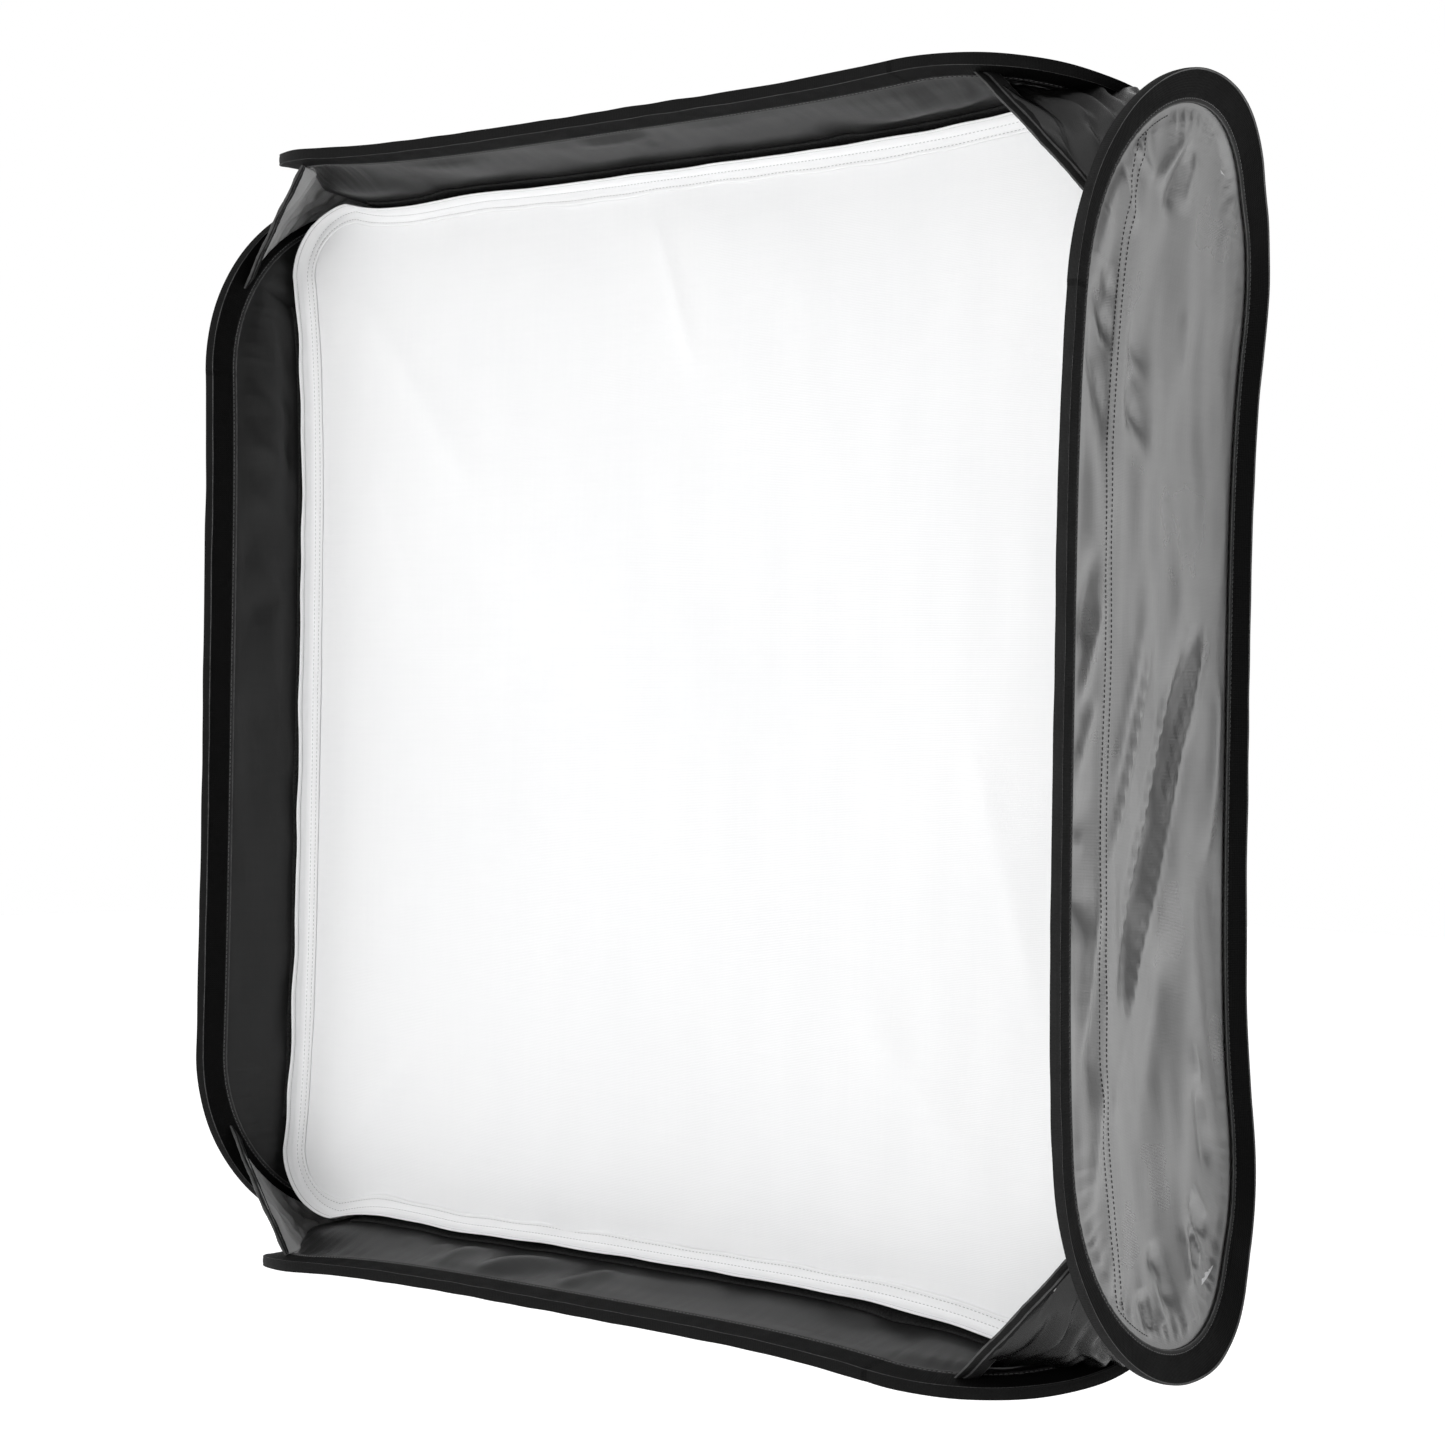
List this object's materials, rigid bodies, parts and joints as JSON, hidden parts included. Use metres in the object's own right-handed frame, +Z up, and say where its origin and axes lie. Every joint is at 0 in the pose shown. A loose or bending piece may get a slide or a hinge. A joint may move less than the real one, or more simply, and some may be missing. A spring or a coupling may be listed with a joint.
{
  "type": "pop-up studio softbox",
  "caption": "Square pop-up softbox with sprung folding walls, a recessed white front diffuser and a rear adapter ring for a studio light.",
  "frame": {"origin": "centre of the bayonet plate's rear face, where the light holds the softbox", "axes": "+Z up, the diffuser faces -Y, +Y points back into the light"},
  "size_m": [0.8041, 0.465, 0.8254],
  "materials": {
    "wall_fabric": "satin",
    "binding_tape": "matte ribbed",
    "black_nylon": "satin",
    "diffuser_fabric": "matte",
    "hook_tape": "matte",
    "spring_steel": "brushed",
    "cast_aluminium": "satin",
    "screw_steel": "polished",
    "knob_plastic": "matte"
  },
  "bodies": {
    "mount_plate": {"bayonet_plate": "cast_aluminium", "bayonet_lug_1": "screw_steel", "bayonet_lug_2": "screw_steel", "bayonet_lug_3": "screw_steel"},
    "ring": {"adapter_ring": "cast_aluminium", "retainer_ring": "cast_aluminium", "retainer_screw_1": "screw_steel", "retainer_screw_2": "screw_steel", "retainer_screw_3": "screw_steel", "retainer_screw_4": "screw_steel", "rear_collar": "black_nylon", "clamp_band": "spring_steel", "clamp_band_block": "spring_steel", "top_rear_panel": "black_nylon", "bottom_rear_panel": "black_nylon", "left_rear_panel": "black_nylon", "right_rear_panel": "black_nylon"},
    "lock_knob": {"lock_knob": "knob_plastic"},
    "clamp_screw": {"clamp_band_screw": "screw_steel"},
    "diffuser": {"diffuser_sheet": "diffuser_fabric", "diffuser_border": "diffuser_fabric"},
    "bottom_wall": {"bottom_wall_fabric": "wall_fabric", "bottom_binding_tape": "binding_tape", "bottom_spring_hoop": "spring_steel", "bottom_hook_strip": "hook_tape", "bottom_left_gusset": "black_nylon", "bottom_left_gusset_tape": "binding_tape", "bottom_right_gusset": "black_nylon", "bottom_right_gusset_tape": "binding_tape"},
    "left_wall": {"left_wall_fabric": "wall_fabric", "left_binding_tape": "binding_tape", "left_spring_hoop": "spring_steel", "left_hook_strip": "hook_tape", "top_left_gusset": "black_nylon", "top_left_gusset_tape": "binding_tape"},
    "right_wall": {"right_wall_fabric": "wall_fabric", "right_binding_tape": "binding_tape", "right_spring_hoop": "spring_steel", "right_hook_strip": "hook_tape", "top_right_gusset": "black_nylon", "top_right_gusset_tape": "binding_tape"},
    "top_wall": {"top_wall_fabric": "wall_fabric", "top_binding_tape": "binding_tape", "top_spring_hoop": "spring_steel", "top_hook_strip": "hook_tape"}
  },
  "joints": [
    {"name": "ring_turn", "type": "hinge", "parent": "mount_plate", "child": "ring", "pos_m": [0, 0, 0], "axis": [0, 1, 0], "continuous": true},
    {"name": "lock_knob_turn", "type": "hinge", "parent": "ring", "child": "lock_knob", "pos_m": [-0.0804, -0.0186, 0], "axis": [-1, 0, 0], "range_deg": [0, 360]},
    {"name": "clamp_screw_turn", "type": "hinge", "parent": "ring", "child": "clamp_screw", "pos_m": [0.0084, -0.032, 0.0867], "axis": [1, 0, 0], "range_deg": [0, 720]},
    {"name": "diffuser_pull", "type": "slide", "parent": "ring", "child": "diffuser", "axis": [0, -1, 0], "range_m": [0, 0.3]},
    {"name": "fold", "type": "hinge", "parent": "bottom_wall", "child": "left_wall", "pos_m": [-0.354, -0.32, -0.364], "axis": [0.2701, 0.9219, 0.2778], "range_deg": [0, 78], "stiffness_Nm_per_rad": 6, "deforming": ["top_rear_panel", "bottom_rear_panel", "left_rear_panel", "right_rear_panel", "top_left_gusset", "top_right_gusset", "bottom_right_gusset", "bottom_left_gusset", "top_left_gusset_tape", "top_right_gusset_tape", "bottom_right_gusset_tape", "bottom_left_gusset_tape", "diffuser_sheet", "diffuser_border"]},
    {"name": "fold_swing", "type": "hinge", "parent": "ring", "child": "bottom_wall", "pos_m": [0, 0.888, 0], "axis": [-0.1493, -0.8694, -0.4709], "range_deg": [0, 42]},
    {"name": "fold_top", "type": "hinge", "parent": "left_wall", "child": "top_wall", "pos_m": [-0.3895, -0.32, 0.3915], "axis": [-0.2932, -0.9095, 0.2947], "range_deg": [0, 72]},
    {"name": "fold_right", "type": "hinge", "parent": "bottom_wall", "child": "right_wall", "pos_m": [0.3715, -0.32, -0.3965], "axis": [-0.2805, 0.912, 0.2993], "range_deg": [0, 77]}
  ],
  "couplings": [
    {"joint": "fold_swing", "follows": "fold", "ratio": 0.5287},
    {"joint": "fold_top", "follows": "fold", "ratio": 0.92},
    {"joint": "fold_right", "follows": "fold", "ratio": 0.98}
  ]
}
